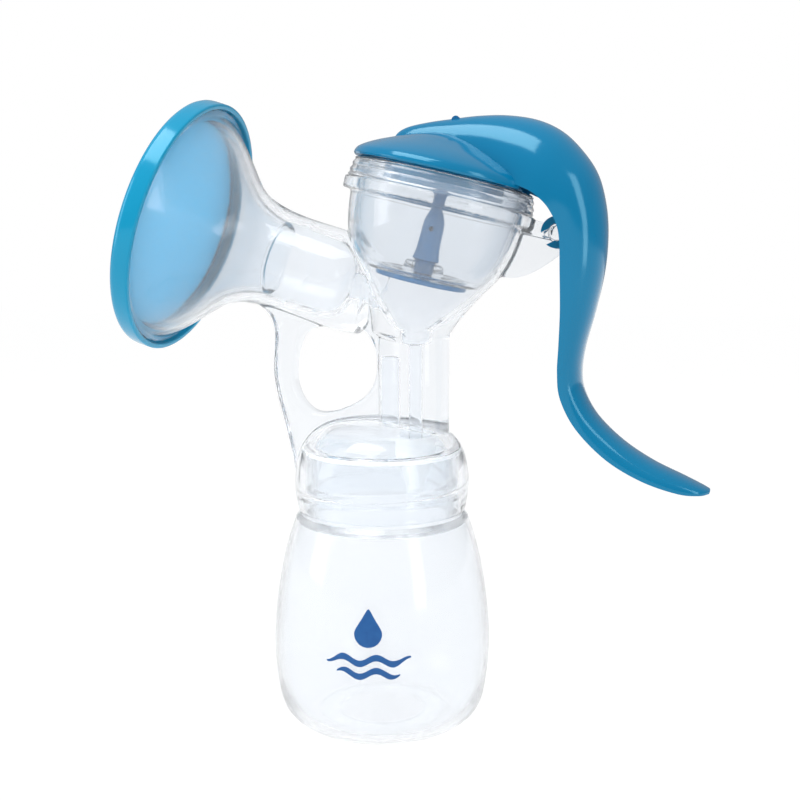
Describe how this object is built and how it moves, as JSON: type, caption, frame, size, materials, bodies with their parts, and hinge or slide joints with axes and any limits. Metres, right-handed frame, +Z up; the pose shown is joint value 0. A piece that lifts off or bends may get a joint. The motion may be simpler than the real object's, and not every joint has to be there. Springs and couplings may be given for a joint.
{
  "type": "manual breast pump",
  "caption": "Hand-lever breast pump with a funnel, a clear cup and hollow stem screwed onto a round feeding bottle.",
  "frame": {"origin": "centre of the bottle's base, on the surface it stands on", "axes": "+Z up, -X towards the funnel, +X towards the lever; the object is symmetric about the XZ plane"},
  "size_m": [0.1667, 0.0754, 0.182],
  "materials": {
    "bottle": "clear polypropylene, slightly cloudy",
    "seal_ring": "white translucent silicone",
    "pump_body": "clear glossy polycarbonate",
    "duckbill_valve": "milky silicone",
    "funnel_insert": "clear soft silicone",
    "funnel_cover": "blue, slightly see-through",
    "diaphragm": "clear soft silicone",
    "rim_ring": "clear glossy plastic",
    "pull_stem": "blue plastic",
    "lever": "blue, high gloss"
  },
  "bodies": {
    "bottle": {"bottle": "bottle"},
    "seal": {"seal_ring": "seal_ring"},
    "pump": {"pump_body": "pump_body", "duckbill_valve": "duckbill_valve", "funnel_insert": "funnel_insert", "diaphragm": "diaphragm", "rim_ring": "rim_ring"},
    "cover": {"funnel_cover": "funnel_cover"},
    "lever": {"lever": "lever"},
    "stem": {"pull_stem": "pull_stem"}
  },
  "joints": [
    {"name": "seal_lift", "type": "slide", "parent": "bottle", "child": "seal", "axis": [0, 0, 1], "range_m": [0, 0.008]},
    {"name": "pump_unscrew", "type": "hinge", "parent": "seal", "child": "pump", "pos_m": [0, 0, 0.07], "axis": [0, 0, 1], "range_deg": [0, 720]},
    {"name": "cover_pull", "type": "slide", "parent": "pump", "child": "cover", "axis": [-0.95, 0, 0.3123], "range_m": [0, 0.03]},
    {"name": "lever_squeeze", "type": "hinge", "parent": "pump", "child": "lever", "pos_m": [0.05048, 0, 0.14279], "axis": [0, 1, 0], "range_deg": [0, 20], "stiffness_Nm_per_rad": 0.2, "springref_deg": -17.19},
    {"name": "stem_lift", "type": "slide", "parent": "pump", "child": "stem", "axis": [0.23, 0, 0.9732], "range_m": [0, 0.01048], "deforming": ["diaphragm"]}
  ],
  "couplings": [
    {"joint": "seal_lift", "follows": "pump_unscrew", "m_per_rad": 0.00063662},
    {"joint": "stem_lift", "follows": "lever_squeeze", "m_per_rad": 0.03}
  ]
}
